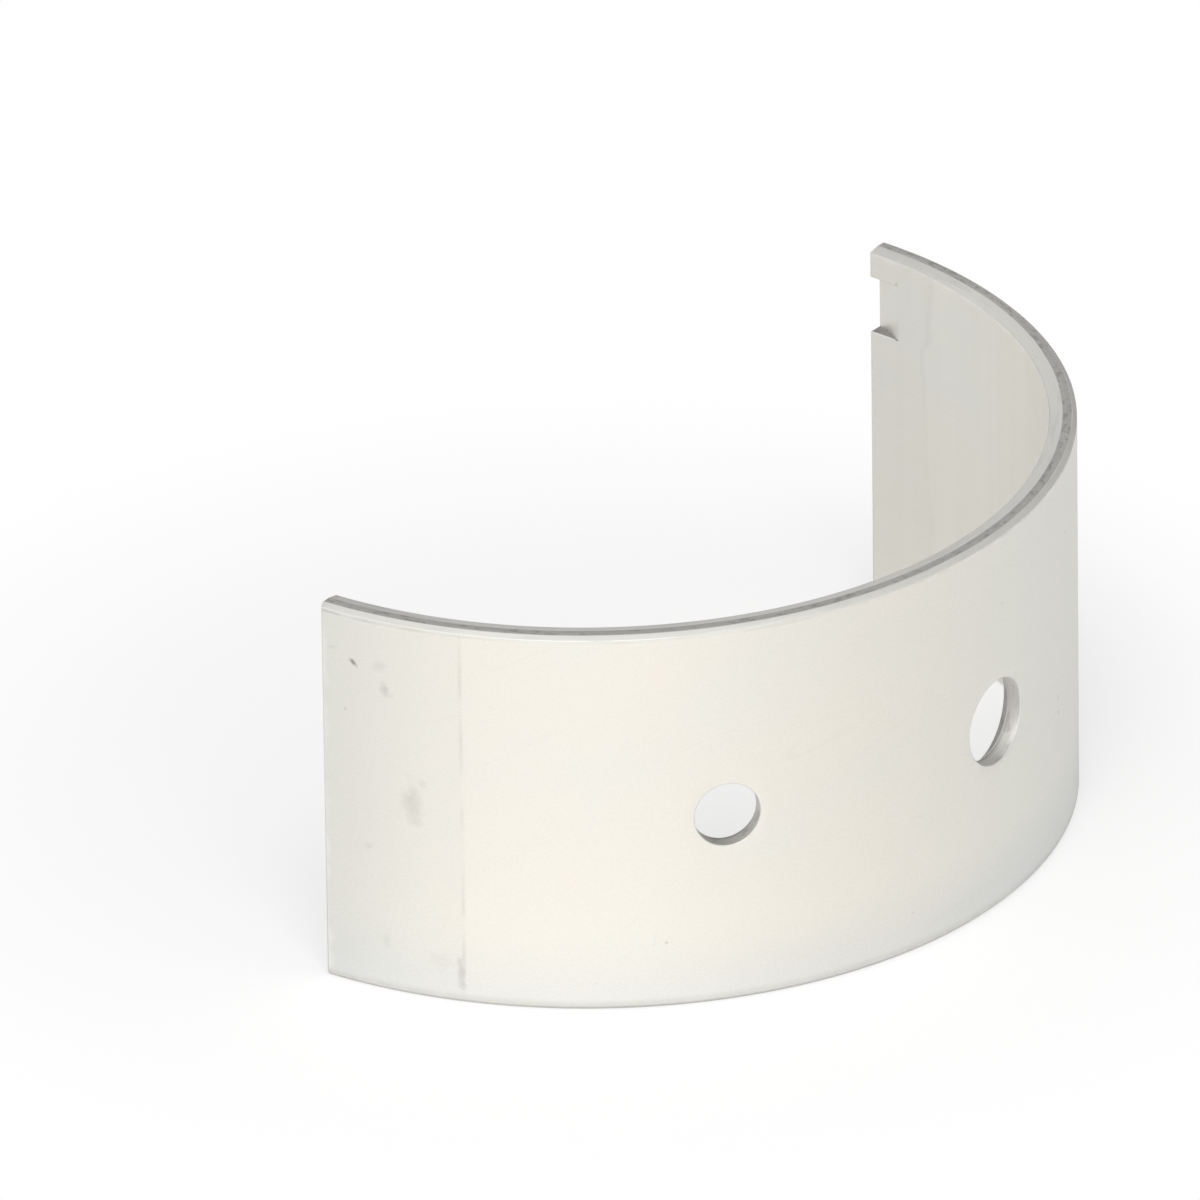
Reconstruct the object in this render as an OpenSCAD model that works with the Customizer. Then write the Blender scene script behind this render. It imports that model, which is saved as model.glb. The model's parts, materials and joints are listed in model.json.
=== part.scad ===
// Half bearing shell for an engine journal, in its free state and standing on a side face.
// The bearing axis is Z, the origin is on that axis at mid-width, and the crown of the back faces -Y.
// Angles round the shell are measured from the crown and grow towards +X.

/* [Fit] */
// Diameter of the housing bore that the back seats in
housing_d = 85; // [70:0.5:110]
// How much further apart than the housing the ends stand while the shell is free
free_spread = 2.1; // [0.5:0.1:3]
// Height of each joint face above half the housing, which clamps the shell when the cap is bolted down
crush = 0.05; // [0:0.01:0.1]
// Wall thickness from back to bore
wall = 2.5; // [2:0.05:4]
// Width along the bearing axis
shell_w = 37.4; // [30:0.1:60]

/* [Edges] */
// Bevel round the side edges of the back
back_bevel = 0.4; // [0.2:0.05:0.6]
// Radial reach of the shallow bevel round the side edges of the bore
bore_bevel_reach = 1.2; // [0.5:0.05:1.3]
// Depth of that bevel along the axis
bore_bevel_depth = 0.25; // [0.1:0.05:0.8]
// Bevel on the long edges of the joint faces
joint_bevel = 0.2; // [0.1:0.05:0.4]

/* [Joint relief] */
// Depth by which the bore falls away at each joint face
relief_depth = 0.05; // [0.02:0.01:0.1]
// Length of the bore over which it falls away
relief_run = 7.5; // [4:0.5:12]

/* [Oil holes] */
// Diameter of the main oil hole, near the crown
main_hole_d = 8.2; // [5:0.1:10]
// Angle of the main oil hole
main_hole_angle = 1.4; // [-5:0.1:5]
// Diameter of the side oil hole
side_hole_d = 6.1; // [4:0.1:8]
// Angle of the side oil hole
side_hole_angle = -38.5; // [-60:0.5:-25]
// Bevel of both holes where they break into the bore
hole_bevel = 0.9; // [0.3:0.05:1.2]

/* [Locating lug] */
// Width of the lug along the axis
lug_w = 5.5; // [4:0.1:8]
// Distance from the upper side face down to the lug
lug_inset = 2.7; // [1.5:0.1:6]
// Length round the shell over which the lug rises to the joint face
lug_run = 3.4; // [2.5:0.1:6]
// Height of the lug above the back at the joint face
lug_h = 1.4; // [0.8:0.1:1.8]

/* [Hidden] */
$fn = 180;

// How far a cut runs past the face that it opens
past = 1;

back_r = (housing_d + free_spread) / 2;
bore_r = back_r - wall;
side_z = shell_w / 2;

// The back is as long as half the housing, with the crush added at each end
arc = (180 * housing_d / 2 + 2 * crush * 180 / PI) / back_r;

lug_top_z = side_z - lug_inset;

// Angle of the bore that a relief takes up, and the smaller circle that cuts it: that circle meets the bore
// where the relief starts and lies relief_depth outside it at the joint face
relief_angle = relief_run / bore_r * 180 / PI;
relief_reach = bore_r + relief_depth;
relief_x = (relief_reach ^ 2 - bore_r ^ 2) / (2 * (relief_reach - bore_r * cos(relief_angle)));
relief_r = relief_reach - relief_x;

// Distance from the axis, at a distance along the shell from a joint face, of a point on a circle
function beside_joint(r, along) = sqrt(r ^ 2 - along ^ 2);

// The same for the straight slope of the lug, which leaves the circle at lug_run and is lug_h outside it at
// the joint face
function lug_slope(r, along) =
    r + lug_h - (r + lug_h - beside_joint(r, lug_run)) * along / lug_run;

// Turns a shape on the X axis to an angle from the crown
module at_angle(angle) {
    rotate([0, 0, angle - 90]) children();
}

// Places a shape at both joint faces: X runs out through the wall and -Y runs along the shell
module at_each_joint() {
    at_angle(arc / 2) children();
    at_angle(-arc / 2) mirror([0, 1, 0]) children();
}

// Section of the wall, with the side faces between two unequal bevels
module wall_section() {
    polygon([
        [bore_r, -side_z + bore_bevel_depth],
        [bore_r + bore_bevel_reach, -side_z],
        [back_r - back_bevel, -side_z],
        [back_r, -side_z + back_bevel],
        [back_r, side_z - back_bevel],
        [back_r - back_bevel, side_z],
        [bore_r + bore_bevel_reach, side_z],
        [bore_r, side_z - bore_bevel_depth]
    ]);
}

// Rolled a little longer than the shell, as the joint faces are cut afterwards
module rolled_wall() {
    rolled = arc + 2 * past / back_r * 180 / PI;
    rotate_extrude(angle = rolled, start = -90 - rolled / 2) wall_section();
}

// A cut through the whole width, drawn in plan
module full_width_cut() {
    translate([0, 0, -side_z - past]) linear_extrude(shell_w + 2 * past) children();
}

// Radial drilling, wider where it breaks into the bore
module oil_hole(d, angle) {
    at_angle(angle) rotate([0, 90, 0]) {
        translate([0, 0, bore_r - past]) cylinder(d = d, h = wall + 2 * past);
        translate([0, 0, bore_r - past])
            cylinder(r1 = d / 2 + hole_bevel + past, r2 = d / 2, h = hole_bevel + past);
    }
}

module joint_relief() {
    full_width_cut() translate([relief_x, 0]) circle(r = relief_r);
}

module joint_edge_bevels() {
    for (edge_r = [bore_r, back_r])
        full_width_cut() polygon([
            [edge_r, -joint_bevel],
            [edge_r + joint_bevel + past, past],
            [edge_r - joint_bevel - past, past]
        ]);
}

// Takes off all that stands beyond a joint face
module joint_cut() {
    full_width_cut() translate([bore_r - past, 0]) square([wall + lug_h + 3 * past, 3 * past]);
}

// Band of the shell that the lug is pressed from, drawn in plan at the joint face
module lug_band() {
    at_angle(arc / 2) translate([0, 0, lug_top_z - lug_w]) linear_extrude(lug_w) children();
}

// Wedge that stands proud of the back
module lug_wedge() {
    lug_band() polygon([
        [back_r - wall / 2, past],
        [lug_slope(back_r, lug_run + past), -lug_run - past],
        [lug_slope(back_r, -past), past]
    ]);
}

// Nick that the same press stroke leaves in the bore
module lug_nick() {
    lug_band() polygon([
        [bore_r - past, past],
        [bore_r - past, -lug_run],
        [lug_slope(bore_r, lug_run), -lug_run],
        [lug_slope(bore_r, -past), past]
    ]);
}

module bearing_shell() {
    color("#e6e2d9") difference() {
        union() {
            difference() {
                rolled_wall();
                at_each_joint() {
                    joint_relief();
                    joint_edge_bevels();
                }
            }
            lug_wedge();
        }
        at_each_joint() joint_cut();
        lug_nick();
        oil_hole(main_hole_d, main_hole_angle);
        oil_hole(side_hole_d, side_hole_angle);
    }
}

bearing_shell();
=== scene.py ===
# %% [markdown]
# # A half bearing shell
# This lesson dresses one half of a plain engine bearing: a strip of metal rolled to a half circle, bored
# smooth inside, with two oil holes and a small pressed lug. The CAD model already holds the exact shape, so
# Blender's job is the finish: soft edges that catch the light, and metal that looks handled. The first cell
# loads that model as a fixed frame, with a way to read the box of each part.

# %% Load the frame
import json
from math import atan2, cos, degrees, hypot, radians, sin, sqrt

import bmesh
import bpy
from mathutils import Matrix, Vector


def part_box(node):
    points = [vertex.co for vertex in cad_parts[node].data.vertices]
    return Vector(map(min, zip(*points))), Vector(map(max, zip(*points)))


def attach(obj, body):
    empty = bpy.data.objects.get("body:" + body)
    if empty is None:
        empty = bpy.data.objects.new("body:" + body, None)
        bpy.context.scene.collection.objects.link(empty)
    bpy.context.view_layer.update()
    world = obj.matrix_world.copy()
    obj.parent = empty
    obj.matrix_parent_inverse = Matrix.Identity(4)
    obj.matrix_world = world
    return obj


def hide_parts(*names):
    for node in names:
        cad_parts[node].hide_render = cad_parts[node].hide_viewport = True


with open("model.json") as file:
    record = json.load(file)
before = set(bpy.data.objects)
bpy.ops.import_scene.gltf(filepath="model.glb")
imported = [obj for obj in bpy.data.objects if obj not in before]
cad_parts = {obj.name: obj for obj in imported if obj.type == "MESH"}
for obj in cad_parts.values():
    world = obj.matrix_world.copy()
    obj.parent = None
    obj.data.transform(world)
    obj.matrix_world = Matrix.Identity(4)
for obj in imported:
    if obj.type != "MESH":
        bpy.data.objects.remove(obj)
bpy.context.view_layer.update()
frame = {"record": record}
scene = bpy.context.scene

# %% [markdown]
# ## Sizes
# Everything that has a size is read from the packed record, because its mounts are the real interfaces of
# the shell: the bore that runs on the journal, the back that seats in the housing, the two joint faces and
# the oil holes. What the record has no key for, such as the bevels, is written here in millimetres.
# Angles round the shell start at the crown, the middle of the back, and grow towards the lug.

# %% Read the sizes
MM = 0.001
mounts = {mount["name"]: mount for mount in frame["record"]["mounts"]}


def angle_of(place):
    """Angle from the crown of a point, or of a direction, in the shell's own frame."""
    return atan2(place[0], -place[1])


bore_r = mounts["journal_bore"]["dims"]["r_mm"] * MM
back_r = mounts["housing_seat"]["dims"]["r_mm"] * MM
end_angle = angle_of(mounts["lug_end_joint_face"]["pos_m"])
side_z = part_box("bearing_shell")[1].z
oil_holes = [
    (angle_of(mounts[name]["axis"]), mounts[name]["dims"]["r_mm"] * MM)
    for name in ("main_oil_hole", "side_oil_hole")
]

back_bevel = 0.4 * MM
bore_bevel_reach = 1.2 * MM
bore_bevel_depth = 0.25 * MM
hole_bevel = 0.9 * MM
lug_inset = 2.7 * MM
lug_width = 5.5 * MM
lug_run = 3.4 * MM
lug_height = 1.4 * MM
lug_top = side_z - lug_inset
lug_bottom = lug_top - lug_width
print(f"back {back_r / MM:.2f} mm, bore {bore_r / MM:.2f} mm, width {2 * side_z / MM:.2f} mm,",
      f"arc {degrees(2 * end_angle):.2f} degrees")

# %% [markdown]
# ## Rolling the wall
# A real shell starts as a flat strip that is rolled to a half circle, so every cut across it shows the same
# section: a thin bar with a small bevel on the back's edges and a wide, shallow one on the bore's edges.
# Spinning that section about the bearing axis gives the whole wall in one step. The long sides are divided
# first, because the oil holes will need small faces to replace.

# %% Spin the section
ROWS = 44
STEPS = 176


def spot(angle, radius, height):
    """Point at an angle from the crown, a distance from the axis and a height."""
    return Vector((radius * sin(angle), -radius * cos(angle), height))


shell = bmesh.new()
half_section = [
    (bore_r, side_z - bore_bevel_depth),
    (bore_r + bore_bevel_reach, side_z),
    (back_r - back_bevel, side_z),
    (back_r, side_z - back_bevel),
]
section = half_section + [(radius, -height) for radius, height in reversed(half_section)]
corners = [shell.verts.new(spot(-end_angle, radius, height)) for radius, height in section]
sides = [shell.edges.new((corners[i - 1], corners[i])) for i in range(len(corners))]
long_sides = [side for side in sides if side.calc_length() > side_z]
bmesh.ops.subdivide_edges(shell, edges=long_sides, cuts=ROWS - 1)
bmesh.ops.spin(
    shell, geom=shell.verts[:] + shell.edges[:], axis=(0, 0, 1), cent=(0, 0, 0),
    angle=2 * end_angle, steps=STEPS,
)
print("rolled wall:", len(shell.faces), "faces")

# %% [markdown]
# ## Oil holes
# Both holes are drilled straight through towards the axis, and their edge in the bore is bevelled so that it
# can't scrape the journal. A boolean would leave long thin faces round each hole, so the hole is sewn in by
# hand: a window of faces is taken out of the back and of the bore, a circle is bridged to the first, and its
# edge is extruded down through the wall until it can be bridged to the second.

# %% Windows in the wall
# Zones of the surface, one for each finish; a face that has no zone yet counts as back
BACK, BORE, SIDE, BEVEL, JOINT, HOLE, EDGE = range(7)
UNNAMED = BACK
ON_SURFACE = 0.1 * MM
RING_CUTS = 3


def on_surface(face, radius):
    """Does this face lie on the cylinder of that radius?"""
    middle = face.calc_center_median()
    return abs(hypot(middle.x, middle.y) - radius) < ON_SURFACE


def cut_window(radius, angle, reach):
    """Takes a square of faces out of a cylinder and gives the edges round the opening."""
    inside = set()
    for face in shell.faces:
        middle = face.calc_center_median()
        sideways = abs(angle_of(middle) - angle) * radius
        if on_surface(face, radius) and sideways < reach and abs(middle.z) < reach:
            inside.add(face)
    rim = {edge for face in inside for edge in face.edges
           if sum(neighbour in inside for neighbour in edge.link_faces) == 1}
    bmesh.ops.delete(shell, geom=list(inside), context="FACES")
    return list(rim)


def sew_ring(radius, rim, circle):
    """Fills the space between a window and a circle with rings of small faces on the cylinder."""
    sewn = bmesh.ops.bridge_loops(shell, edges=rim + circle)
    for face in sewn["faces"]:
        face.material_index = UNNAMED
    across = [edge for edge in sewn["edges"] if edge not in rim and edge not in circle]
    parts = bmesh.ops.subdivide_edges(shell, edges=across, cuts=RING_CUTS, use_grid_fill=True)
    for part in parts["geom_inner"]:
        if isinstance(part, bmesh.types.BMVert):
            part.co = spot(angle_of(part.co), radius, part.co.z)


print("faces on the back and on the bore:",
      [sum(on_surface(face, radius) for face in shell.faces) for radius in (back_r, bore_r)])

# %% Drill the oil holes
WINDOW_MARGIN = 3.2 * MM
CORRECTIONS = 12


def next_loop(loop):
    """Extrudes a loop of edges down the hole, and gives the new loop."""
    made = bmesh.ops.extrude_edge_only(shell, edges=loop)["geom"]
    for part in made:
        if isinstance(part, bmesh.types.BMFace):
            part.material_index = HOLE
    return [part for part in made if isinstance(part, bmesh.types.BMEdge)
            and all(vert in made for vert in part.verts)]


def verts_of(loop):
    """The points that a loop of edges runs through."""
    return {vert for edge in loop for vert in edge.verts}


def drill(angle, hole_r):
    """One oil hole, from the back to its bevel in the bore."""
    outward = spot(angle, 1, 0)
    sideways = Vector((cos(angle), sin(angle), 0))
    up = Vector((0, 0, 1))

    def shape(verts, radius_at, depth_at):
        """Sets a loop's distance from the hole's axis and its distance from the bearing axis."""
        for vert in verts:
            turn = atan2(vert.co.dot(up), vert.co.dot(sideways))
            radius = radius_at(turn)
            aside = radius * cos(turn)
            vert.co = aside * sideways + radius * sin(turn) * up + depth_at(aside) * outward

    def bevel_edge(turn):
        """Where the bevel's cone meets the bore, found by a few rounds of correction."""
        radius = hole_r + hole_bevel
        for _ in range(CORRECTIONS):
            radius = hole_r + hole_bevel + bore_r - sqrt(bore_r ** 2 - (radius * cos(turn)) ** 2)
        return radius

    reach = hole_r + WINDOW_MARGIN
    back_rim = cut_window(back_r, angle, reach)
    bore_rim = cut_window(bore_r, angle, reach * bore_r / back_r)
    turned = Matrix((sideways, up, outward)).transposed().to_4x4()
    circle = bmesh.ops.create_circle(shell, segments=len(back_rim), radius=hole_r, matrix=turned)["verts"]
    mouth = list({edge for vert in circle for edge in vert.link_edges})
    shape(circle, lambda turn: hole_r, lambda aside: sqrt(back_r ** 2 - aside ** 2))
    sew_ring(back_r, back_rim, mouth)
    waist = next_loop(mouth)
    shape(verts_of(waist), lambda turn: hole_r, lambda aside: bore_r + hole_bevel)
    foot = next_loop(waist)
    shape(verts_of(foot), bevel_edge, lambda aside: sqrt(bore_r ** 2 - aside ** 2))
    sew_ring(bore_r, bore_rim, foot)
    print(f"hole of {2 * hole_r / MM:.1f} mm at {degrees(angle):.1f} degrees:",
          len(back_rim), "and", len(bore_rim), "edges round its windows")


for hole_angle, hole_radius in oil_holes:
    drill(hole_angle, hole_radius)

# %% [markdown]
# ## Locating lug
# A press pushes a small tongue of the wall outwards at one joint face. On the back it stands up as a wedge,
# and the same stroke leaves a nick in the bore. Here the two patches of wall are outlined with three plane
# cuts, and each patch is extruded outwards by an amount that grows towards the joint face.

# %% Outline the lug
ON_PLANE = 1e-7
joint_normal = Vector(mounts["lug_end_joint_face"]["axis"])
joint_out = spot(end_angle, 1, 0)


def slice_shell(point, normal, near):
    """Cuts new edges where a plane crosses the faces that near() picks."""
    faces = [face for face in shell.faces if near(face.calc_center_median())]
    parts = {part for face in faces for part in (face, *face.edges, *face.verts)}
    bmesh.ops.bisect_plane(shell, geom=list(parts), plane_co=point, plane_no=normal, dist=ON_PLANE)


for height in (lug_top, lug_bottom):
    slice_shell((0, 0, height), (0, 0, 1), lambda middle: True)
slice_shell(-lug_run * joint_normal, joint_normal, lambda middle: angle_of(middle) > 0)
print("wall with the lug's outline:", len(shell.faces), "faces")

# %% Press the lug
WELD = 0.005 * MM


def behind_joint(place):
    """Distance of a point back from the lug's joint face."""
    return -place.dot(joint_normal)


def press_patch(radius):
    """Pushes a patch of wall outwards, from nothing at its inner edge to the full height at the joint."""
    patch = []
    for face in shell.faces:
        middle = face.calc_center_median()
        in_band = lug_bottom < middle.z < lug_top and angle_of(middle) > 0
        if in_band and behind_joint(middle) < lug_run and on_surface(face, radius):
            patch.append(face)
    open_edges = [edge for face in patch for edge in face.edges if edge.is_boundary]
    pressed = bmesh.ops.extrude_face_region(shell, geom=patch, edges_exclude=set(open_edges))
    bmesh.ops.delete(shell, geom=patch, context="FACES_ONLY")
    foot_out = sqrt(radius ** 2 - lug_run ** 2)
    for part in pressed["geom"]:
        if isinstance(part, bmesh.types.BMVert):
            share = 1 - behind_joint(part.co) / lug_run
            out = foot_out + share * (radius + lug_height - foot_out)
            part.co += (out - part.co.dot(joint_out)) * joint_out
    print(f"patch at {radius / MM:.1f} mm:", len(patch), "faces pressed out")


press_patch(back_r)
press_patch(bore_r)
bmesh.ops.remove_doubles(shell, verts=shell.verts, dist=WELD)
bmesh.ops.dissolve_degenerate(shell, edges=shell.edges, dist=WELD)
loose = [edge for edge in shell.edges if not edge.link_faces]
bmesh.ops.delete(shell, geom=loose, context="EDGES")

# %% [markdown]
# ## Joint faces
# The wall is still open at both ends, where the joint faces belong. Each open edge loop is flat, so one face
# closes it. After that the shell is a closed solid, and its normals can be turned outwards.

# %% Close the joint faces
open_edges = [edge for edge in shell.edges if edge.is_boundary]
joints = bmesh.ops.edgeloop_fill(shell, edges=open_edges, mat_nr=JOINT)["faces"]
bmesh.ops.recalc_face_normals(shell, faces=shell.faces)
print("joint faces:", len(joints), "open edges left:", sum(edge.is_boundary for edge in shell.edges),
      "volume in mm3:", round(shell.calc_volume() / MM ** 3))

# %% [markdown]
# ## Zones and edges
# The back, the bore, the side faces, their bevels, the joint faces and the drilled holes were all made by
# different tools, so each zone gets a material of its own. Real edges are never perfectly sharp: a thin round
# along them catches the light, and that is what makes a part look solid. A Bevel modifier adds it, with a
# finish of its own, and a weight on each edge says how wide it is there. Hollow edges stay sharp, as the
# tools left them. Weighted normals keep the large faces true beside those thin rounds.

# %% Name the zones
LIES_FLAT = 0.995
FACES_OUT = 0.9


def zone_of(face):
    """The zone of a face that isn't named yet, from where it points."""
    middle = face.calc_center_median()
    outward = Vector((middle.x, middle.y, 0)).normalized()
    if abs(face.normal.z) > LIES_FLAT:
        return SIDE
    if face.normal.dot(outward) > FACES_OUT:
        return BACK
    if face.normal.dot(outward) < -FACES_OUT:
        return BORE
    return BEVEL


for face in shell.faces:
    face.smooth = True
    if face.material_index == UNNAMED:
        face.material_index = zone_of(face)
print("faces of back, bore, side faces, bevels, joint faces and holes:",
      [sum(face.material_index == zone for face in shell.faces) for zone in range(EDGE)])

# %% Weigh the edges
JOINT_WEIGHT = 1.0
LUG_WEIGHT = 0.6
HOLE_WEIGHT = 0.5
RIM_WEIGHT = 0.4
LUG_ROOT = 0.8 * MM
SHARPEST_SMOOTH = radians(12)


def round_of(edge):
    """The share of the full round that an edge gets; hollow edges and the lug's thin root stay sharp."""
    zones = {face.material_index for face in edge.link_faces}
    middle = (edge.verts[0].co + edge.verts[1].co) / 2
    if edge.calc_face_angle(0) < SHARPEST_SMOOTH or not edge.is_convex:
        return 0
    if angle_of(middle) > 0 and lug_bottom - WELD < middle.z < lug_top + WELD:
        if behind_joint(middle) > lug_run - LUG_ROOT:
            return 0
        if SIDE in zones:
            return LUG_WEIGHT
    if JOINT in zones and zones & {BACK, BORE}:
        return JOINT_WEIGHT
    return HOLE_WEIGHT if HOLE in zones else RIM_WEIGHT


weights = shell.edges.layers.float.new("bevel_weight_edge")
for edge in shell.edges:
    edge[weights] = round_of(edge)
    edge.smooth = edge[weights] > 0 or edge.calc_face_angle(0) < SHARPEST_SMOOTH
print("weighted edges:", sum(edge[weights] > 0 for edge in shell.edges), "of", len(shell.edges))

# %% Round the edges
EDGE_ROUND = 0.2 * MM
ROUND_SEGMENTS = 3

mesh = bpy.data.meshes.new("bearing_shell_dressed")
shell.to_mesh(mesh)
shell.free()
piece = bpy.data.objects.new("bearing_shell_dressed", mesh)
scene.collection.objects.link(piece)

rounds = piece.modifiers.new("edge rounds", "BEVEL")
rounds.limit_method = "WEIGHT"
rounds.width = EDGE_ROUND
rounds.segments = ROUND_SEGMENTS
rounds.use_clamp_overlap = False
rounds.material = EDGE
true_faces = piece.modifiers.new("true faces", "WEIGHTED_NORMAL")
true_faces.mode = "FACE_AREA"
true_faces.keep_sharp = True
print("modifiers on", piece.name, "are", [modifier.name for modifier in piece.modifiers])

# %% [markdown]
# ## A short vocabulary for nodes
# A material in Blender is a drawing of boxes and wires. In code that drawing grows long, so this class gives
# each box that the finishes need one short word. Every word adds a box to a node tree and hands back the
# socket that comes out of it, so boxes can be nested like words in a sentence. Where a box needs a value, it
# takes a plain number or the socket of another box.

# %% Words for nodes
# Most of a noise texture lies between these two values
NOISE_LOW = 0.25
NOISE_HIGH = 0.75


class Bench:
    """Adds nodes to one tree, and gives what comes out of each."""

    def __init__(self, tree):
        self.tree = tree

    def fill(self, socket, value):
        """Wires a socket to what comes out of another node, or writes a plain value in it."""
        if isinstance(value, bpy.types.NodeSocket):
            self.tree.links.new(value, socket)
        else:
            socket.default_value = value

    def node(self, kind, values=(), **settings):
        """One node, with its menu settings and with values for its inputs, by number or by name."""
        made = self.tree.nodes.new("ShaderNode" + kind)
        for name, setting in settings.items():
            setattr(made, name, setting)
        for name, value in dict(values).items():
            self.fill(made.inputs[name], value)
        return made.outputs

    def math(self, operation, *values):
        """One step of arithmetic."""
        return self.node("Math", enumerate(values), operation=operation)[0]

    def ramp(self, value, start, end, low=0.0, high=1.0):
        """A soft step: low where the value is at start, high where it is at end."""
        values = enumerate((value, start, end, low, high))
        return self.node("MapRange", values, interpolation_type="SMOOTHSTEP")[0]

    def spread(self, share, low, high):
        """A soft step over the whole of a mask: low where it is 0, high where it is 1."""
        return self.ramp(share, 0.0, 1.0, low, high)

    def mix(self, share, first, second):
        """The first colour where the share is 0, and the second where it is 1."""
        # A Mix node has its colours at inputs 6 and 7 and at output 2, after its numbers and vectors
        return self.node("Mix", {0: share, 6: first, 7: second}, data_type="RGBA")[2]

    def vector(self, *values):
        """Three numbers as one vector."""
        return self.node("CombineXYZ", enumerate(values))[0]

    def noise(self, place, detail=2.0):
        """Cloudy noise with features of about one unit, spread from 0 to 1."""
        raw = self.node("TexNoise", {"Vector": place, "Scale": 1.0, "Detail": detail})[0]
        return self.ramp(raw, NOISE_LOW, NOISE_HIGH)

    def effect(self, group, output, **values):
        """One of the node groups below: an input such as Half width is given as Half_width."""
        named = {name.replace("_", " "): value for name, value in values.items()}
        return self.node("Group", named, node_tree=group)[output]


def new_group(name, inputs, outputs):
    """An empty node group whose sockets all carry plain numbers, with a bench to work on it."""
    tree = bpy.data.node_groups.new(name, "ShaderNodeTree")
    for label, value in inputs.items():
        socket = tree.interface.new_socket(label, in_out="INPUT", socket_type="NodeSocketFloat")
        socket.default_value = value
    for label in outputs:
        tree.interface.new_socket(label, in_out="OUTPUT", socket_type="NodeSocketFloat")
    given = tree.nodes.new("NodeGroupInput").outputs
    result = tree.nodes.new("NodeGroupOutput").inputs
    return tree, Bench(tree), given, result


print("words for nodes:", [word for word in vars(Bench) if not word.startswith("_")])

# %% [markdown]
# ## Finding a place on the shell
# Rolling, turning and drilling leave marks that run round the shell, along its axis or out through its wall,
# and not along the scene's own X and Y. This group turns Object coordinates into those three directions, in
# millimetres. It also measures how far a point is from the side faces, the joint faces, the oil holes and the
# floor, because wear starts at edges and painted shade darkens the foot and the lower half. All the other
# groups stand on this one, so it is built first. From here on, every place and reach on the shell is in
# millimetres.

# %% Group for a place on the shell
WAYS = ("Around", "Along", "Out")


def make_shell_place():
    """Millimetres round, along and out from the axis, and distances to the shell's edges and the floor."""
    outputs = [*WAYS, "From side", "From joint", "From hole", "From floor", "Lower half"]
    tree, bench, _, result = new_group("place on the shell", {}, outputs)
    x, y, z = bench.node("SeparateXYZ", {0: bench.node("TexCoord")["Object"]})
    turn = bench.math("ARCTAN2", x, bench.math("MULTIPLY", y, -1))
    around = bench.math("MULTIPLY", turn, back_r / MM)
    along = bench.math("DIVIDE", z, MM)
    out = bench.math("SQRT", bench.math("MULTIPLY_ADD", x, x, bench.math("MULTIPLY", y, y)))
    from_side = bench.math("SUBTRACT", side_z / MM, bench.math("ABSOLUTE", along))
    from_joint = bench.math("SUBTRACT", end_angle * back_r / MM, bench.math("ABSOLUTE", around))
    hole_distances = []
    for angle, radius in oil_holes:
        aside = bench.math("SUBTRACT", around, angle * back_r / MM)
        squares = bench.math("MULTIPLY_ADD", aside, aside, bench.math("MULTIPLY", along, along))
        hole_distances.append(bench.math("SUBTRACT", bench.math("SQRT", squares), radius / MM))
    from_hole = bench.math("MINIMUM", *hole_distances)
    from_floor = bench.math("ADD", along, side_z / MM)
    lower_half = bench.ramp(along, 0.0, -side_z / MM)
    values = (around, along, bench.math("DIVIDE", out, MM),
              from_side, from_joint, from_hole, from_floor, lower_half)
    for name, value in zip(outputs, values):
        bench.fill(result[name], value)
    return tree


def place_on(bench):
    """The outputs of the place group, in the tree of a bench."""
    return bench.node("Group", node_tree=shell_place)


shell_place = make_shell_place()
print("place on the shell:", len(shell_place.nodes), "nodes")

# %% [markdown]
# ## Grain
# Almost every metal finish is noise that has been pulled out in one direction: round the shell where a lathe
# tool ran, along the axis where a broach ran, or not at all where plating settled in clouds. One group can
# make them all, if the size of its noise is set apart for each direction. It is used by every finish, at
# several scales.

# %% Group for grain
def make_grain():
    """Noise with its own size, in millimetres, in each direction."""
    sizes = {"Around size": 1.0, "Along size": 1.0, "Out size": 1.0, "Detail": 2.0}
    tree, bench, given, result = new_group("grain", sizes, ["Grain"])
    place = place_on(bench)
    stretched = [bench.math("DIVIDE", place[way], given[way + " size"]) for way in WAYS]
    bench.fill(result["Grain"], bench.noise(bench.vector(*stretched), given["Detail"]))
    return tree


def grained(bench, around, along, out, detail):
    """The grain group with its sizes filled in."""
    return bench.effect(grain, "Grain", Around_size=around, Along_size=along, Out_size=out, Detail=detail)


grain = make_grain()
print("grain:", [socket.name for socket in grain.interface.items_tree])

# %% [markdown]
# ## Smudges
# Handling leaves soft grey marks where a thumb, a clamp or a tray has rubbed the metal. Each one here is a
# soft oval on the shell, with its edge pulled about by noise so that no two look alike. The group needs only
# the middle of the mark, half its width and height, and how much it leans.

# %% Group for smudges
def make_smudge():
    """A soft, ragged oval: 1 in its middle and 0 outside."""
    sizes = {"Around": 0.0, "Along": 0.0, "Half width": 1.0, "Half height": 1.0, "Lean": 0.0, "Ragged": 0.5}
    tree, bench, given, result = new_group("smudge", sizes, ["Smudge"])
    place = place_on(bench)
    rise = bench.math("SUBTRACT", place["Along"], given["Along"])
    aside = bench.math("SUBTRACT", place["Around"], given["Around"])
    leaning = bench.math("MULTIPLY_ADD", rise, given["Lean"], aside)
    across = bench.math("DIVIDE", leaning, given["Half width"])
    up = bench.math("DIVIDE", rise, given["Half height"])
    squares = bench.math("MULTIPLY_ADD", across, across, bench.math("MULTIPLY", up, up))
    noise = grained(bench, around=0.7, along=0.9, out=1.0, detail=3.0)
    pull = bench.math("MULTIPLY", bench.math("SUBTRACT", noise, 0.5), given["Ragged"])
    distance = bench.math("ADD", bench.math("SQRT", squares), pull)
    bench.fill(result["Smudge"], bench.ramp(distance, start=1.0, end=0.1))
    return tree


smudge = make_smudge()
print("smudge:", [socket.name for socket in smudge.interface.items_tree])

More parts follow.
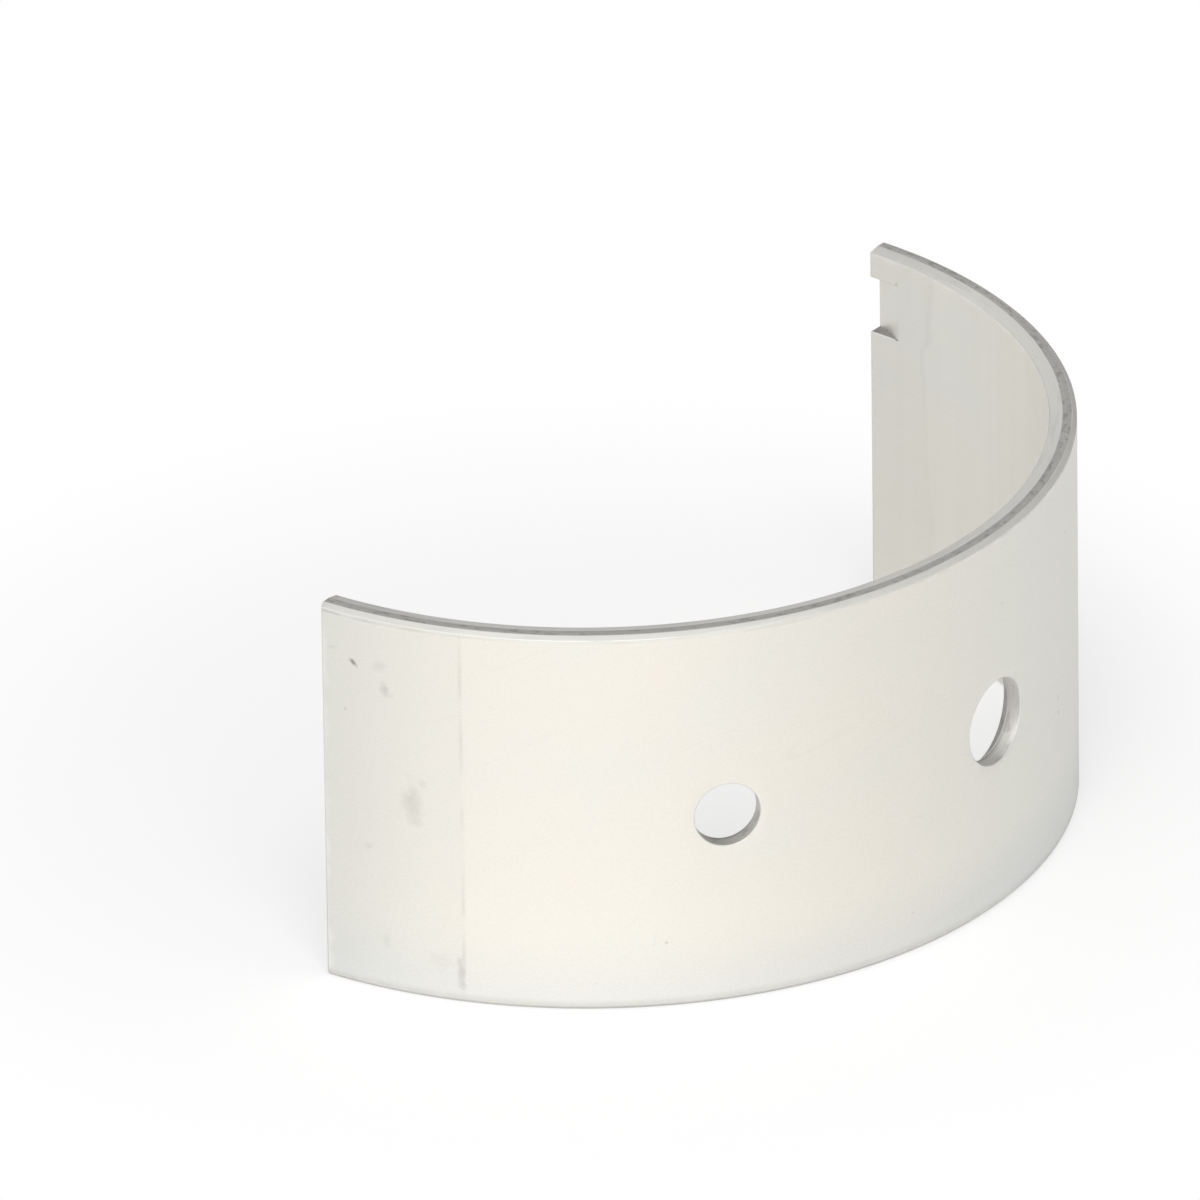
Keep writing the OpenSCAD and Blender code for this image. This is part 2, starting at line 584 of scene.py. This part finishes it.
# %% [markdown]
# ## Specks, hairlines and thin lines
# A close look at bare metal shows more kinds of mark. Specks are pits and grains of dirt: a Voronoi texture
# drops one point in each cell of space, and only a share of the cells keeps theirs. Hairlines are fine
# scratches: they are drawn where a stretched noise passes through its middle value, which gives long thin
# lines that bend a little and fade out. A thin line has a place of its own, where a tool or an edge once lay
# against the metal: it is drawn where a value passes its centre.

# %% Group for specks
SMALLEST_SPECK = 0.12
SPECK_SPREAD = 0.3


def make_specks():
    """Small round dots, in a share of the cells of a size in millimetres."""
    tree, bench, given, result = new_group("specks", {"Size": 1.0, "Share": 0.3}, ["Specks"])
    place = place_on(bench)
    scaled = [bench.math("DIVIDE", place[way], given["Size"]) for way in WAYS]
    cells = bench.node("TexVoronoi", {"Vector": bench.vector(*scaled), "Scale": 1.0})
    pick, width, _ = bench.node("SeparateColor", {0: cells["Color"]})
    reach = bench.math("MULTIPLY_ADD", width, SPECK_SPREAD, SMALLEST_SPECK)
    dot = bench.ramp(bench.math("DIVIDE", cells["Distance"], reach), start=1.0, end=0.5)
    kept = bench.math("LESS_THAN", pick, given["Share"])
    bench.fill(result["Specks"], bench.math("MULTIPLY", dot, kept))
    return tree


specks = make_specks()
print("specks:", len(specks.nodes), "nodes")

# %% Groups for hairlines and thin lines
HAIR_WIDTH = 0.05
HAIR_FADE = 0.2
BREAKS_SLICE = 7.0


def make_hairlines():
    """Long thin scratches at one angle to the shell's edge, in radians."""
    sizes = {"Turn": 0.0, "Length": 20.0, "Spacing": 2.0, "Share": 0.5}
    tree, bench, given, result = new_group("hairlines", sizes, ["Hairlines"])
    place = place_on(bench)
    lean = bench.math("COSINE", given["Turn"])
    rise = bench.math("SINE", given["Turn"])
    run = bench.math("MULTIPLY_ADD", place["Around"], lean, bench.math("MULTIPLY", place["Along"], rise))
    back = bench.math("MULTIPLY", place["Around"], rise)
    step = bench.math("SUBTRACT", bench.math("MULTIPLY", place["Along"], lean), back)
    along_line = bench.math("DIVIDE", run, given["Length"])
    across_line = bench.math("DIVIDE", step, given["Spacing"])
    lines = bench.noise(bench.vector(along_line, across_line, place["Out"]), detail=0.0)
    from_middle = bench.math("ABSOLUTE", bench.math("SUBTRACT", lines, 0.5))
    thin = bench.ramp(from_middle, HAIR_WIDTH, 0.0)
    breaks = bench.noise(bench.vector(along_line, across_line, BREAKS_SLICE))
    limit = bench.math("SUBTRACT", 1.0, given["Share"])
    kept = bench.ramp(breaks, limit, bench.math("ADD", limit, HAIR_FADE))
    bench.fill(result["Hairlines"], bench.math("MULTIPLY", thin, kept))
    return tree


def make_thin_line():
    """A line where a value passes its centre, as strong in each place as a share says."""
    sizes = {"Value": 0.0, "Centre": 0.0, "Half width": 0.2, "Core": 0.05, "Share": 1.0}
    tree, bench, given, result = new_group("thin line", sizes, ["Line"])
    distance = bench.math("ABSOLUTE", bench.math("SUBTRACT", given["Value"], given["Centre"]))
    line = bench.ramp(distance, given["Half width"], given["Core"])
    bench.fill(result["Line"], bench.math("MULTIPLY", line, given["Share"]))
    return tree


hairlines = make_hairlines()
thin_line = make_thin_line()
print("hairlines:", len(hairlines.nodes), "nodes, thin line:", len(thin_line.nodes), "nodes")

# %% [markdown]
# ## Edge rub
# Edges are touched first and most, so metal there is rubbed brighter and smoother. The group takes a distance
# from an edge, which the place group measures, and fades out over a reach in millimetres. Noise makes the
# rubbed band wider in some places than in others, as it is on a part that has been in a box with others.

# %% Group for edge rub
RUB_MIDDLE = 0.4


def make_edge_rub():
    """1 at an edge, fading to 0 over a ragged band."""
    tree, bench, given, result = new_group("edge rub", {"Distance": 1.0, "Reach": 1.0}, ["Rub"])
    noise = grained(bench, around=2.5, along=2.5, out=1.0, detail=4.0)
    ragged = bench.math("MULTIPLY", bench.math("SUBTRACT", noise, RUB_MIDDLE), given["Reach"])
    distance = bench.math("ADD", given["Distance"], ragged)
    bench.fill(result["Rub"], bench.ramp(distance, given["Reach"], 0.0))
    return tree


edge_rub = make_edge_rub()
print("edge rub:", len(edge_rub.nodes), "nodes")

# %% [markdown]
# ## Finishes
# Each finish starts from a new material with a Principled shader. What is the same all over the surface, such
# as how metallic it is, is set on the shader itself. What changes from place to place is wired to it. The
# colour is built up in thin coats: each is laid over the last where its mask allows it, and covers at most as
# much as its strength, the number at its end.

# %% Start of a finish
RUB_POLISH = 0.08


def new_finish(name, metallic):
    """A material, a bench to work on it, and the sockets of its shader."""
    material = bpy.data.materials.new(name)
    material.use_nodes = True
    shader = material.node_tree.nodes["Principled BSDF"].inputs
    shader["Metallic"].default_value = metallic
    return material, Bench(material.node_tree), shader


def paint_over(bench, colour, *coats):
    """Lays coats over a colour; each is a mask, a paint and a strength."""
    for mask, paint, strength in coats:
        colour = bench.mix(bench.math("MULTIPLY", mask, strength), colour, paint)
    return colour


def polish(bench, roughness, rub):
    """Takes some roughness away where the metal is rubbed."""
    return bench.math("SUBTRACT", roughness, bench.math("MULTIPLY", rub, RUB_POLISH))


def rough_and_bump(bench, shader, roughness, height, depth):
    """Wires the roughness, and a height map whose full range is a depth in metres."""
    bench.fill(shader["Roughness"], roughness)
    bump = bench.node("Bump", {"Height": height, "Distance": depth})
    bench.fill(shader["Normal"], bump[0])


finishes = {}
print("zones to finish: back, bore, side faces, bevels, joint faces, holes and rounded edges")

# %% [markdown]
# ## The plated back
# The back is steel under a thin, dull, silvery plating. It is nearly white and warm, and cooler in clouds; a
# painted reflection keeps it warm in its middle and cooler towards the lug and the plain end, and painted
# shade makes it cooler and darker close to the floor, with a grey line of painted shadow where it stands.
# Near the plain end a strip is greyer, and a faint straight line bounds it: a witness of the tool that held
# the strip while it was rolled; painted shade darkens the strip towards the end. A broken line beside the rim
# is partly a handling mark and partly painted shade along the edge of the bevel; smudges, dirt and scratches
# are handling marks. Every mark has a place in millimetres, so that it can be moved by changing one number.

# %% Colour of the plating
WARM_PLATE = (0.905, 0.87, 0.80, 1)
COOL_PLATE = (0.865, 0.86, 0.81, 1)
GREY_PLATE = (0.68, 0.68, 0.64, 1)
FOOT_SHADE_PLATE = (0.70, 0.725, 0.735, 1)
WARM_SHEEN_MIDDLE = -33.0
WARM_SHEEN_TO = 14.0
COOL_SHEEN_FROM = 42.0
CLOUD_COOLING = 0.5
WITNESS_AROUND = -53.2
STRIP_BLUR = 0.4
STRIP_SHADE_GONE_FROM = 12.0
STRIP_SHADE_FULL_TO = 2.0
STRIP_FAINTEST = 0.4
FOOT_SHADE_HEIGHT = 9.0


def plate_colour(bench, place, fine):
    """Warm plating that cools in clouds, with a painted reflection that cools it away from its middle, a grey
    strip that painted shade darkens towards the plain end, and painted shade at the foot.
    """
    clouds = grained(bench, around=13.0, along=9.0, out=9.0, detail=3.0)
    # Painted reflection: the plating is warm where its middle faces the camera and the lamp, and cooler and a
    # little darker towards both ends
    from_middle = bench.math("ABSOLUTE", bench.math("SUBTRACT", place["Around"], WARM_SHEEN_MIDDLE))
    cool_clouds_and_sheen = bench.math("MAXIMUM", bench.ramp(from_middle, WARM_SHEEN_TO, COOL_SHEEN_FROM),
                      bench.math("MULTIPLY", clouds, CLOUD_COOLING))
    strip = bench.ramp(place["Around"], WITNESS_AROUND + STRIP_BLUR, WITNESS_AROUND - STRIP_BLUR)
    # Painted shade: the grey strip grows darker towards the plain end
    end_shade = bench.ramp(place["From joint"], STRIP_SHADE_GONE_FROM, STRIP_SHADE_FULL_TO, STRIP_FAINTEST)
    strip = bench.math("MULTIPLY", strip, end_shade)
    # Painted shade: the plating turns cooler and darker over the lowest millimetres, towards the floor
    foot = bench.ramp(place["From floor"], FOOT_SHADE_HEIGHT, 0.0)
    colour = bench.mix(cool_clouds_and_sheen, WARM_PLATE, COOL_PLATE)
    return paint_over(bench, colour, (fine, GREY_PLATE, 0.08), (strip, GREY_PLATE, 0.32),
                      (foot, FOOT_SHADE_PLATE, 0.47))


print("greyer strip:", round(WITNESS_AROUND + end_angle * back_r / MM, 1), "mm wide")

# %% Lines on the plating
DARK_MARK = (0.30, 0.29, 0.26, 1)
RIM_MARK_AND_SHADE = 0.60
END_SHADE_GONE_FROM = 14.0
END_SHADE_FULL_TO = 5.0


def draw_lines(bench, place, colour):
    """Draws the witness line and the lines beside the rim, which are partly handling marks and partly painted
    shade at the bevel's edge; gives the colour and the witness line.
    """
    faint = grained(bench, around=40.0, along=4.0, out=9.0, detail=2.0)
    broken = grained(bench, around=7.0, along=2.0, out=9.0, detail=2.0)
    from_plain_end = bench.math("ADD", place["Around"], end_angle * back_r / MM)
    near_end = bench.ramp(from_plain_end, END_SHADE_GONE_FROM, END_SHADE_FULL_TO)
    witness = bench.effect(thin_line, "Line", Value=place["Around"], Centre=WITNESS_AROUND,
                           Half_width=0.28, Core=0.05, Share=faint)
    # The lines beside the rim are partly a handling mark and partly painted shade along the edge of the
    # back's bevel
    rim_mark_and_shade = bench.effect(thin_line, "Line", Value=place["From side"], Centre=RIM_MARK_AND_SHADE,
                            Half_width=0.14, Core=0.03, Share=broken)
    end_mark_and_shade = bench.effect(thin_line, "Line", Value=place["From side"], Centre=RIM_MARK_AND_SHADE,
                            Half_width=0.22, Core=0.05, Share=near_end)
    colour = paint_over(bench, colour, (witness, DARK_MARK, 0.16), (rim_mark_and_shade, DARK_MARK, 0.15),
                        (end_mark_and_shade, DARK_MARK, 0.22))
    return colour, witness


print("witness line:", WITNESS_AROUND, "mm from the crown, rim line:", RIM_MARK_AND_SHADE, "mm from the rim")

# %% Handling marks on the plating
# Each smudge: around, along, half width, half height, lean, strength
SMUDGES = [
    (-63.45, 13.65, 0.44, 0.56, 0.55, 0.85),
    (-65.8, 14.6, 0.9, 0.35, 0.0, 0.12),
    (-60.9, 13.8, 0.9, 0.8, 0.0, 0.14),
    (-60.3, 11.6, 0.7, 1.1, 0.2, 0.26),
    (-57.9, 0.6, 1.2, 2.9, 0.1, 0.20),
    (-56.9, 2.9, 0.6, 0.6, 0.0, 0.10),
    (-62.3, -4.4, 0.7, 0.5, 0.0, 0.10),
    (-60.5, -13.6, 0.6, 1.0, 0.0, 0.07),
    (-55.3, -14.7, 2.2, 1.4, 0.4, 0.06),
    (-53.5, -15.6, 0.55, 2.2, 0.05, 0.26),
]


def add_handling(bench, colour):
    """Adds smudges, dirt and scratches; gives the colour and the scratches."""
    for around, along, half_width, half_height, lean, strength in SMUDGES:
        mark = bench.effect(smudge, "Smudge", Around=around, Along=along, Half_width=half_width,
                            Half_height=half_height, Lean=lean, Ragged=0.5)
        colour = paint_over(bench, colour, (mark, DARK_MARK, strength))
    dirt = bench.effect(specks, "Specks", Size=0.7, Share=0.006)
    scratches = bench.effect(hairlines, "Hairlines", Turn=0.3, Length=16.0, Spacing=3.0, Share=0.4)
    return paint_over(bench, colour, (dirt, DARK_MARK, 0.25), (scratches, GREY_PLATE, 0.10)), scratches


print("smudges on the back:", len(SMUDGES))

# %% Finish of the back
RUBBED_PLATE = (0.92, 0.905, 0.87, 1)
FOOT_SHADOW_TOP = 1.2
FOOT_SHADOW_FULL_TO = 0.5


def make_back():
    """Dull silvery plating with the marks of its making and handling, and painted reflection, shade and
    shadow.
    """
    material, bench, shader = new_finish("plated back", metallic=1.0)
    place = place_on(bench)
    fine = grained(bench, around=0.30, along=0.18, out=0.4, detail=2.0)
    colour = plate_colour(bench, place, fine)
    colour, witness = draw_lines(bench, place, colour)
    colour, scratches = add_handling(bench, colour)
    edge = bench.math("MINIMUM", place["From side"], place["From joint"])
    rub = bench.effect(edge_rub, "Rub", Distance=edge, Reach=0.9)
    # Painted shadow: a grey line along the foot, where the shell stands on the floor
    foot_shadow_line = bench.ramp(place["From floor"], FOOT_SHADOW_TOP, FOOT_SHADOW_FULL_TO)
    colour = paint_over(bench, colour, (rub, RUBBED_PLATE, 0.6), (foot_shadow_line, GREY_PLATE, 0.75))
    bench.fill(shader["Base Color"], colour)
    roughness = polish(bench, bench.spread(fine, low=0.56, high=0.66), rub)
    height = bench.math("SUBTRACT", fine, bench.math("ADD", scratches, witness))
    rough_and_bump(bench, shader, roughness, height, depth=0.002 * MM)
    return material


finishes[BACK] = make_back()
print("plated back:", len(finishes[BACK].node_tree.nodes), "nodes")

# %% [markdown]
# ## The bored lining
# The bore is a soft bearing metal, cut with a fine boring tool and left matt. It is greyer than the back and
# very even, with hair-fine lines round the bore and faint streaks along it. Close to each joint face the bore
# falls away by a few hundredths of a millimetre. That is too little to show as a shape, so it is a change of
# colour here, and the place where the relief starts shows as a faint, uneven line.

# %% Finish of the bore
WARM_LINING = (0.81, 0.785, 0.715, 1)
COOL_LINING = (0.79, 0.785, 0.74, 1)
DULL_LINING = (0.60, 0.59, 0.55, 1)
RELIEF_RUN = 7.5
RELIEF_WANDER = 1.6
RELIEF_BLUR = 0.2


def make_bore():
    """Even, matt bearing metal with boring lines and a relief at each joint face."""
    material, bench, shader = new_finish("bored lining", metallic=1.0)
    place = place_on(bench)
    clouds = grained(bench, around=16.0, along=11.0, out=9.0, detail=2.0)
    lines = grained(bench, around=50.0, along=0.16, out=1.0, detail=2.0)
    streaks = grained(bench, around=1.6, along=45.0, out=5.0, detail=3.0)
    wander = grained(bench, around=30.0, along=7.0, out=9.0, detail=3.0)
    start = bench.math("ADD", RELIEF_RUN - RELIEF_WANDER / 2, bench.math("MULTIPLY", wander, RELIEF_WANDER))
    relief = bench.ramp(bench.math("SUBTRACT", place["From joint"], start), RELIEF_BLUR, -RELIEF_BLUR)
    uneven = bench.ramp(clouds, start=0.2, end=0.7, low=0.3)
    line = bench.effect(thin_line, "Line", Value=place["From joint"], Centre=start,
                        Half_width=0.6, Core=0.05, Share=uneven)
    from_side = bench.math("SUBTRACT", place["From side"], bore_bevel_depth / MM)
    from_hole = bench.math("SUBTRACT", place["From hole"], hole_bevel / MM)
    edge = bench.math("MINIMUM", from_side, from_hole)
    rub = bench.effect(edge_rub, "Rub", Distance=edge, Reach=0.5)
    colour = bench.mix(clouds, WARM_LINING, COOL_LINING)
    colour = paint_over(bench, colour, (streaks, DULL_LINING, 0.03), (lines, DULL_LINING, 0.10),
                        (relief, DULL_LINING, 0.12), (line, DULL_LINING, 0.18), (rub, RUBBED_PLATE, 0.25))
    bench.fill(shader["Base Color"], colour)
    roughness = polish(bench, bench.spread(streaks, low=0.46, high=0.50), rub)
    rough_and_bump(bench, shader, roughness, bench.math("SUBTRACT", lines, line), depth=0.003 * MM)
    return material


finishes[BORE] = make_bore()
print("bored lining:", len(finishes[BORE].node_tree.nodes), "nodes")

# %% [markdown]
# ## Side faces and bevels
# The strip is sheared to width before it is rolled, so its side faces are bare steel: darker than the
# plating, coarse and full of small pits. The walls that the press tears open at the lug and its nick point
# the same way and share this finish, and painted shade makes them darker still. The bevels are cut afterwards
# by a clean tool, which leaves them brighter, with fine lines round the shell, a darker streak here and
# there, a duller tone towards the joint faces, and painted shade towards the floor.

# %% Finish of the side faces
BARE_STEEL = (0.56, 0.55, 0.525, 1)
PITTED_STEEL = (0.20, 0.19, 0.175, 1)
CUT_STEEL = (0.67, 0.655, 0.62, 1)
TORN_SHADE_FROM = 1.0
TORN_SHADE_FULL_FROM = 2.0


def make_side():
    """Bare sheared steel with pits, with painted shade on the torn walls, which lie further in from the
    sides.
    """
    material, bench, shader = new_finish("sheared side face", metallic=0.6)
    patches = grained(bench, around=3.0, along=3.0, out=1.2, detail=4.0)
    lines = grained(bench, around=14.0, along=1.0, out=0.12, detail=3.0)
    mottle = grained(bench, around=0.9, along=1.0, out=0.45, detail=3.0)
    pits = bench.ramp(mottle, start=0.55, end=0.95)
    # Painted shade: the torn walls of the lug and its nick are darkened
    torn_shade = bench.ramp(place_on(bench)["From side"], TORN_SHADE_FROM, TORN_SHADE_FULL_FROM)
    colour = bench.mix(lines, BARE_STEEL, CUT_STEEL)
    colour = paint_over(bench, colour, (patches, BARE_STEEL, 0.6), (patches, PITTED_STEEL, 0.2),
                        (pits, PITTED_STEEL, 0.35), (torn_shade, PITTED_STEEL, 0.6))
    bench.fill(shader["Base Color"], colour)
    roughness = bench.spread(patches, low=0.70, high=0.86)
    rough_and_bump(bench, shader, roughness, bench.math("SUBTRACT", lines, pits), depth=0.02 * MM)
    return material


finishes[SIDE] = make_side()
print("side faces:", len(finishes[SIDE].node_tree.nodes), "nodes")

# %% Finish of the bevels
CUT_LINING = (0.80, 0.785, 0.75, 1)
STEEL_FROM = bore_r / MM + 1.4
STEEL_FULL_FROM = STEEL_FROM + 0.4
DULL_END_GONE_FROM = 14.0
DULL_END_FULL_TO = 2.0


def make_bevel():
    """Clean cut metal, with streaks round the shell: lining beside the bore and steel beside the back, and
    painted shade on the lower half.
    """
    material, bench, shader = new_finish("cut bevel", metallic=0.35)
    place = place_on(bench)
    steel = bench.ramp(place["Out"], STEEL_FROM, STEEL_FULL_FROM)
    lines = grained(bench, around=9.0, along=0.15, out=0.15, detail=3.0)
    patches = grained(bench, around=4.0, along=2.0, out=0.6, detail=4.0)
    streaks = bench.ramp(patches, start=0.55, end=0.95)
    dull_ends = bench.ramp(place["From joint"], DULL_END_GONE_FROM, DULL_END_FULL_TO)
    colour = bench.mix(steel, CUT_LINING, CUT_STEEL)
    # Painted shade darkens the bevels of the lower half
    colour = paint_over(bench, colour, (lines, BARE_STEEL, 0.25), (streaks, BARE_STEEL, 0.25),
                        (dull_ends, BARE_STEEL, 0.4), (place["Lower half"], PITTED_STEEL, 0.2))
    bench.fill(shader["Base Color"], colour)
    rough_and_bump(bench, shader, bench.spread(lines, low=0.66, high=0.80), lines, depth=0.006 * MM)
    return material


finishes[BEVEL] = make_bevel()
print("bevels:", len(finishes[BEVEL].node_tree.nodes), "nodes")

# %% [markdown]
# ## Joint faces, holes and rounded edges
# The joint faces are broached to an exact height, which draws straight lines along the axis. The oil holes
# are drilled, so their walls carry fine rings and a duller, greyer surface, with a little dirt left in them,
# and painted shade darkens the corner above their bevel. The thin rounds on the edges are rubbed by handling,
# with dull breaks, and painted shade darkens them towards the floor.

# %% Finish of the joint faces
BROACHED_STEEL = (0.70, 0.69, 0.66, 1)


def make_joint():
    """Broached steel, with straight lines along the axis."""
    material, bench, shader = new_finish("broached joint face", metallic=1.0)
    lines = grained(bench, around=1.0, along=30.0, out=0.10, detail=3.0)
    patches = grained(bench, around=5.0, along=4.0, out=1.0, detail=3.0)
    dull = bench.ramp(patches, start=0.5, end=1.0)
    colour = paint_over(bench, BROACHED_STEEL, (lines, BARE_STEEL, 0.45), (dull, PITTED_STEEL, 0.12))
    bench.fill(shader["Base Color"], colour)
    rough_and_bump(bench, shader, bench.spread(lines, low=0.40, high=0.54), lines, depth=0.006 * MM)
    return material


finishes[JOINT] = make_joint()
print("joint faces:", len(finishes[JOINT].node_tree.nodes), "nodes")

# %% Finish of the holes
DRILLED_STEEL = (0.80, 0.79, 0.75, 1)
SHADED_CORNER_OUT = (bore_r + hole_bevel) / MM
CORNER_SHADE_REACH = 0.5


def make_hole():
    """Drilled steel, with rings round the hole, dirt in patches, and painted shade on the bevel and just
    above it.
    """
    material, bench, shader = new_finish("drilled hole", metallic=1.0)
    rings = grained(bench, around=3.0, along=3.0, out=0.14, detail=3.0)
    patches = grained(bench, around=1.5, along=1.5, out=1.0, detail=3.0)
    dirty = bench.ramp(patches, start=0.45, end=1.0)
    # Painted shade in the corner of the hole, over the bevel and half a millimetre above it
    corner_shade = bench.ramp(place_on(bench)["Out"], SHADED_CORNER_OUT + CORNER_SHADE_REACH, SHADED_CORNER_OUT)
    colour = paint_over(bench, DRILLED_STEEL, (rings, BARE_STEEL, 0.3), (dirty, PITTED_STEEL, 0.25),
                        (corner_shade, PITTED_STEEL, 0.5))
    bench.fill(shader["Base Color"], colour)
    rough_and_bump(bench, shader, bench.spread(rings, low=0.56, high=0.70), rings, depth=0.01 * MM)
    return material


finishes[HOLE] = make_hole()
print("holes:", len(finishes[HOLE].node_tree.nodes), "nodes")

# %% Finish of the rounded edges
RUBBED_EDGE = (0.70, 0.69, 0.65, 1)


def make_edge():
    """Rubbed metal on the thin rounds, with dull breaks, and painted shade on the lower half."""
    material, bench, shader = new_finish("rubbed edge", metallic=0.4)
    breaks = grained(bench, around=3.0, along=3.0, out=1.0, detail=4.0)
    dull = bench.ramp(breaks, start=0.45, end=0.95)
    lower_half = place_on(bench)["Lower half"]
    # Painted shade: the rounds of the lower half are darker
    colour = paint_over(bench, RUBBED_EDGE, (dull, BROACHED_STEEL, 0.6), (lower_half, BARE_STEEL, 0.7))
    bench.fill(shader["Base Color"], colour)
    rough_and_bump(bench, shader, bench.spread(dull, low=0.60, high=0.74), breaks, depth=0.004 * MM)
    return material


finishes[EDGE] = make_edge()
for zone in sorted(finishes):
    mesh.materials.append(finishes[zone])
print("finishes on the shell:", [material.name for material in mesh.materials])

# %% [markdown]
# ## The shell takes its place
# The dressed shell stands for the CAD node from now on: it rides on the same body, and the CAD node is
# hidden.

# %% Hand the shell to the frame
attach(piece, "root")
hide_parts("bearing_shell")
print("dressed piece:", piece.name, "with", len(mesh.polygons), "faces")

# %% [markdown]
# ## Studio
# Pale satin metal is lit best by a large bright room, because it shows what it mirrors. The world here is
# such a room: bright above, in front and on the left, and dim behind the shell, which rounds the back and
# darkens the faces that look away. One wide lamp above the camera's line of sight adds a direction.
# The floor is white paper. Light Path tells what looks at it: a camera sees it glow, so that it reads as
# white, and metal sees half of that glow. The glow is weaker near the shell, so that the shell's soft shadow
# shows on the paper.

# %% Camera directions
CAMERA_AZIMUTH = radians(-53.941)
CAMERA_ELEVATION = radians(27.254)
to_camera = Vector((sin(CAMERA_AZIMUTH), -cos(CAMERA_AZIMUTH), 0))
rightward = Vector((cos(CAMERA_AZIMUTH), sin(CAMERA_AZIMUTH), 0))
upright = Vector((0, 0, 1))
print("the camera looks from", [round(value, 3) for value in to_camera])

# %% Room
WHITE = (1, 1, 1, 1)
ROOM_LEVEL = 0.16
ROOM_PULL = 0.36 * to_camera - 0.30 * rightward + 0.44 * upright
DARKEST_ROOM = 0.05


def make_room():
    """A white room that is brighter above, in front and on the left than behind the shell."""
    world = bpy.data.worlds.new("studio")
    world.use_nodes = True
    bench = Bench(world.node_tree)
    direction = bench.node("TexCoord")["Generated"]
    facing = bench.node("VectorMath", {0: direction, 1: ROOM_PULL}, operation="DOT_PRODUCT")["Value"]
    level = bench.math("MAXIMUM", bench.math("ADD", facing, ROOM_LEVEL), DARKEST_ROOM)
    background = world.node_tree.nodes["Background"].inputs
    background["Color"].default_value = WHITE
    bench.fill(background["Strength"], level)
    return world


scene.world = make_room()
print("room from", DARKEST_ROOM, "to", round(ROOM_LEVEL + ROOM_PULL.length, 2))

# %% Floor
PAPER_WHITE = (0.95, 0.95, 0.95, 1)
PAPER_ROUGHNESS = 0.9
FLOOR_SIZE = 8.0
NEAR_GLOW = 0.62
FAR_GLOW = 1.0
MIRRORED_GLOW = 0.5
GLOW_STARTS = 0.042
GLOW_FULL = 0.085


def make_paper():
    """White paper that glows for what looks at it, and less so near the shell."""
    paper = bpy.data.materials.new("white paper")
    paper.use_nodes = True
    # Only what looks at the floor sees the glow, so it isn't sampled as a lamp
    paper.cycles.emission_sampling = "NONE"
    bench = Bench(paper.node_tree)
    plain = paper.node_tree.nodes["Principled BSDF"]
    plain.inputs["Base Color"].default_value = PAPER_WHITE
    plain.inputs["Roughness"].default_value = PAPER_ROUGHNESS
    path = bench.node("LightPath")
    mirrored = bench.math("MAXIMUM", path["Is Glossy Ray"], path["Is Transmission Ray"])
    mirrored = bench.math("MULTIPLY", mirrored, MIRRORED_GLOW)
    seen = bench.math("MAXIMUM", path["Is Camera Ray"], mirrored)
    away = bench.node("VectorMath", {0: bench.node("TexCoord")["Object"]}, operation="LENGTH")["Value"]
    share = bench.math("MULTIPLY", seen, bench.ramp(away, GLOW_STARTS, GLOW_FULL, NEAR_GLOW, FAR_GLOW))
    glow = bench.node("Emission", {"Color": WHITE, "Strength": 1.0})[0]
    blend = bench.node("MixShader", {0: share, 1: plain.outputs[0], 2: glow})[0]
    bench.fill(paper.node_tree.nodes["Material Output"].inputs["Surface"], blend)
    return paper


def make_floor():
    """A sheet of paper under the lower side face."""
    sheet = bmesh.new()
    bmesh.ops.create_grid(sheet, x_segments=1, y_segments=1, size=FLOOR_SIZE / 2,
                          matrix=Matrix.Translation((0, 0, -side_z)))
    floor_mesh = bpy.data.meshes.new("floor")
    sheet.to_mesh(floor_mesh)
    sheet.free()
    floor_mesh.materials.append(make_paper())
    floor = bpy.data.objects.new("floor", floor_mesh)
    scene.collection.objects.link(floor)


make_floor()
print("floor:", FLOOR_SIZE, "m wide, at", round(-side_z / MM, 2), "mm")

# %% Lamp
LAMP_WATTS = 56.0
LAMP_SIZE = 2.0
LAMP_PLACE = 2.1 * to_camera + 0.05 * rightward + 1.8 * upright


def make_lamp():
    """A wide soft lamp above the camera's line of sight, turned towards the shell."""
    data = bpy.data.lights.new("soft lamp", "AREA")
    data.size = LAMP_SIZE
    data.energy = LAMP_WATTS
    lamp = bpy.data.objects.new("soft lamp", data)
    lamp.location = LAMP_PLACE
    lamp.rotation_euler = LAMP_PLACE.to_track_quat("Z", "Y").to_euler()
    scene.collection.objects.link(lamp)


make_lamp()
scene.view_settings.view_transform = "Standard"
print("lamp of", LAMP_WATTS, "W,", round(LAMP_PLACE.length, 2), "m from the shell")

# %% [markdown]
# ## Camera
# The picture was taken from a long way off with a long lens, which is how small parts are shown without
# distortion. Distance, lens and angles were fitted to the outline of the shell. The camera is turned a little
# about its own line of sight, and it stands a hair to the right of the axis, which sets the framing.

# %% Camera
CAMERA_ROLL = radians(-0.786)
CAMERA_DISTANCE = 2.70216
CAMERA_ASIDE = 0.491 * MM
CAMERA_LIFT = 0.014 * MM
CAMERA_LENS = 900
CAMERA_SENSOR = 36

backward = cos(CAMERA_ELEVATION) * to_camera + sin(CAMERA_ELEVATION) * upright
upward = backward.cross(rightward)
rolled_right = cos(CAMERA_ROLL) * rightward + sin(CAMERA_ROLL) * upward
rolled_up = cos(CAMERA_ROLL) * upward - sin(CAMERA_ROLL) * rightward
camera_data = bpy.data.cameras.new("camera")
camera_data.lens = CAMERA_LENS
camera_data.sensor_width = CAMERA_SENSOR
camera = bpy.data.objects.new("camera", camera_data)
stand = CAMERA_DISTANCE * backward + CAMERA_ASIDE * rightward + CAMERA_LIFT * upward
turned = Matrix((rolled_right, rolled_up, backward)).transposed().to_4x4()
camera.matrix_world = Matrix.Translation(stand) @ turned
scene.collection.objects.link(camera)
scene.camera = camera
print("camera at", [round(value, 4) for value in stand])

# %% [markdown]
# ## Finish
